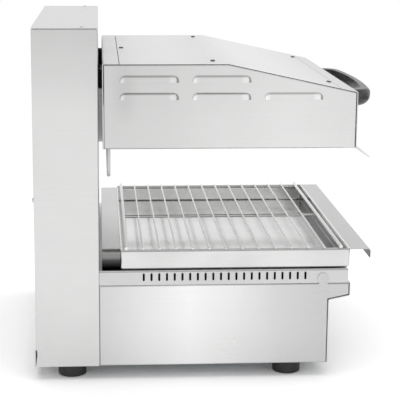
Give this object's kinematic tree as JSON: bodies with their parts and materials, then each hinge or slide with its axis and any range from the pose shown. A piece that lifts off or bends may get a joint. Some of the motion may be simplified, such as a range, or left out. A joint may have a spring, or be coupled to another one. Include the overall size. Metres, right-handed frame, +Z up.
{
  "type": "cheese melter",
  "caption": "Countertop cheese melter: a heated hood that rises and falls on a rear column over a wire grate and a sliding crumb pan.",
  "frame": {"origin": "on the floor, under the centre of the whole machine's outline", "axes": "+X to the machine's right as a user faces it, -Y to the front, +Z up"},
  "size_m": [0.45, 0.4976, 0.5009],
  "materials": {
    "casing": "brushed stainless sheet, satin",
    "pan": "bright rolled stainless sheet",
    "inner_steel": "zinc-plated steel sheet",
    "wire": "polished stainless wire",
    "polished": "polished steel",
    "element": "dull oxidised tube",
    "strut": "satin black paint",
    "ceramic": null,
    "fibre": "white ceramic fibre",
    "roller": "machined acetal",
    "black_plastic": "black moulded phenolic",
    "pale_plastic": "natural nylon",
    "dial": "printed film on the steel panel",
    "lens": "amber tinted lens",
    "rubber": "moulded black rubber"
  },
  "bodies": {
    "stand": {"column_wrapper": "casing", "column_back_panel": "casing", "column_top_cap": "casing", "column_floor": "inner_steel", "guide_rail_right": "inner_steel", "guide_rail_left": "inner_steel", "stop_pads": "rubber", "strut_cylinders": "strut", "strut_brackets": "inner_steel", "cable_gland": "black_plastic", "terminal_block": "pale_plastic", "casing_screws": "polished", "base_side_right": "casing", "base_side_left": "casing", "control_panel": "casing", "base_floor": "inner_steel", "deck_plate": "casing", "vent_strip_right": "casing", "vent_strip_left": "casing", "vent_strip_front": "casing", "pan_shelf": "casing", "pan_runners": "inner_steel", "rear_ledge": "casing", "feet": "rubber", "energy_regulators": "black_plastic", "dial_rings": "dial", "pilot_lamps": "pale_plastic", "lamp_lenses": "lens"},
    "hood": {"hood_side_right": "casing", "hood_side_left": "casing", "hood_top_cover": "casing", "hood_rear_channel": "casing", "hood_front_panel": "casing", "bow_handle": "black_plastic", "hood_screws": "polished", "reflector": "polished", "insulation_blanket": "fibre", "heating_element_right": "element", "heating_element_left": "element", "element_supports": "inner_steel", "element_terminals": "ceramic", "lift_arm_right": "inner_steel", "lift_arm_left": "inner_steel", "carriage_beam": "inner_steel", "roller_pins": "polished", "strut_rods": "polished", "sensor_brackets": "inner_steel", "sensor_switch": "black_plastic"},
    "roller_lower_right": {"guide_roller_lower_right": "roller"},
    "roller_lower_left": {"guide_roller_lower_left": "roller"},
    "roller_upper_right": {"guide_roller_upper_right": "roller"},
    "roller_upper_left": {"guide_roller_upper_left": "roller"},
    "sensor": {"sensor_bar": "wire"},
    "pan": {"crumb_pan": "pan"},
    "grate": {"grate_wires": "wire", "grate_bars": "wire"},
    "knob_right": {"knob_right": "black_plastic", "spindle_right": "polished"},
    "knob_left": {"knob_left": "black_plastic", "spindle_left": "polished"}
  },
  "joints": [
    {"name": "hood_lift", "type": "slide", "parent": "stand", "child": "hood", "axis": [0, 0, 1], "range_m": [-0.09, 0.03]},
    {"name": "roller_lower_right_spin", "type": "hinge", "parent": "hood", "child": "roller_lower_right", "pos_m": [0.1611, 0.1715, 0.352], "axis": [1, 0, 0], "range_deg": [-145, 431]},
    {"name": "roller_lower_left_spin", "type": "hinge", "parent": "hood", "child": "roller_lower_left", "pos_m": [-0.1611, 0.1715, 0.352], "axis": [1, 0, 0], "range_deg": [-145, 431]},
    {"name": "roller_upper_right_spin", "type": "hinge", "parent": "hood", "child": "roller_upper_right", "pos_m": [0.1611, 0.1715, 0.418], "axis": [1, 0, 0], "range_deg": [-431, 145]},
    {"name": "roller_upper_left_spin", "type": "hinge", "parent": "hood", "child": "roller_upper_left", "pos_m": [-0.1611, 0.1715, 0.418], "axis": [1, 0, 0], "range_deg": [-431, 145]},
    {"name": "sensor_swing", "type": "hinge", "parent": "hood", "child": "sensor", "pos_m": [0, 0.142, 0.341], "axis": [1, 0, 0], "range_deg": [0, 5]},
    {"name": "pan_slide", "type": "slide", "parent": "stand", "child": "pan", "axis": [0, -1, 0], "range_m": [0, 0.3]},
    {"name": "grate_lift_out", "type": "slide", "parent": "pan", "child": "grate", "axis": [0, 0, 1], "range_m": [0, 0.035]},
    {"name": "knob_right_turn", "type": "hinge", "parent": "stand", "child": "knob_right", "pos_m": [0.075, -0.1698, 0.067], "axis": [0, 1, 0], "range_deg": [0, 300]},
    {"name": "knob_left_turn", "type": "hinge", "parent": "stand", "child": "knob_left", "pos_m": [-0.075, -0.1698, 0.067], "axis": [0, 1, 0], "range_deg": [0, 300]}
  ],
  "couplings": [
    {"joint": "roller_lower_right_spin", "follows": "hood_lift", "rad_per_m": -83.333},
    {"joint": "roller_lower_left_spin", "follows": "hood_lift", "rad_per_m": -83.333},
    {"joint": "roller_upper_right_spin", "follows": "hood_lift", "rad_per_m": 83.333},
    {"joint": "roller_upper_left_spin", "follows": "hood_lift", "rad_per_m": 83.333}
  ]
}
